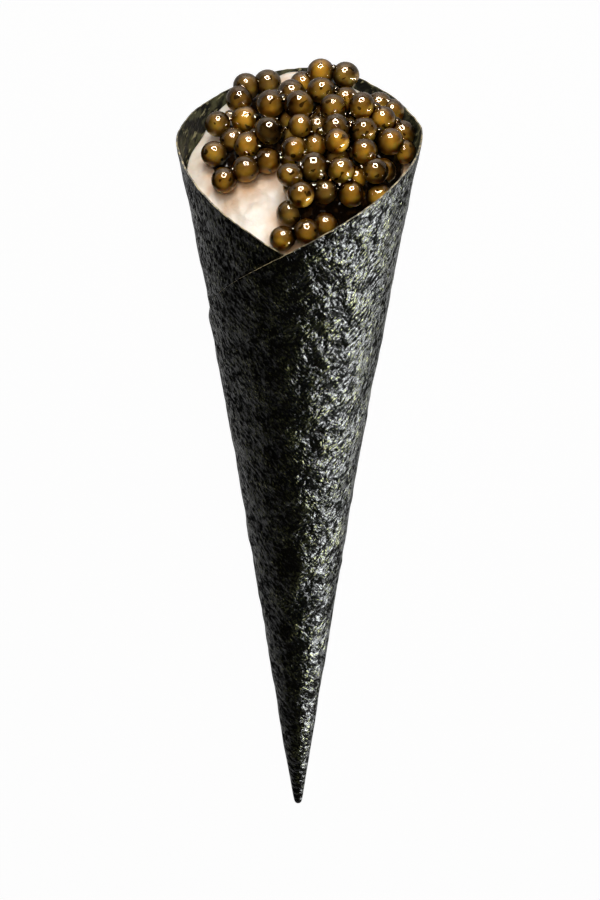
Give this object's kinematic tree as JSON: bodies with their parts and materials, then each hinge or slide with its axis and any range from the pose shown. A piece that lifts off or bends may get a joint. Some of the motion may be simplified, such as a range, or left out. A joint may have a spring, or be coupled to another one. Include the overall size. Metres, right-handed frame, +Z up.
{
  "type": "temaki hand roll",
  "caption": "Cone-shaped hand roll of toasted seaweed lying on its back, filled with white cream and topped with a loose heap of dark golden caviar.",
  "frame": {"origin": "on the table, under the middle of the roll's bounding box", "axes": "+Y runs along the table from the tip to the mouth, +X to the right, +Z up; the front seam faces up"},
  "size_m": [0.0312, 0.1024, 0.0275],
  "materials": {
    "seaweed": "thin crisp toasted seaweed, near black with a patchy gloss",
    "cream": "soft warm white cream",
    "caviar": "wet olive-brown eggs"
  },
  "bodies": {
    "root": {"nori_wrap": "seaweed", "cream_filling": "cream", "caviar_heap": "caviar"}
  },
  "joints": []
}
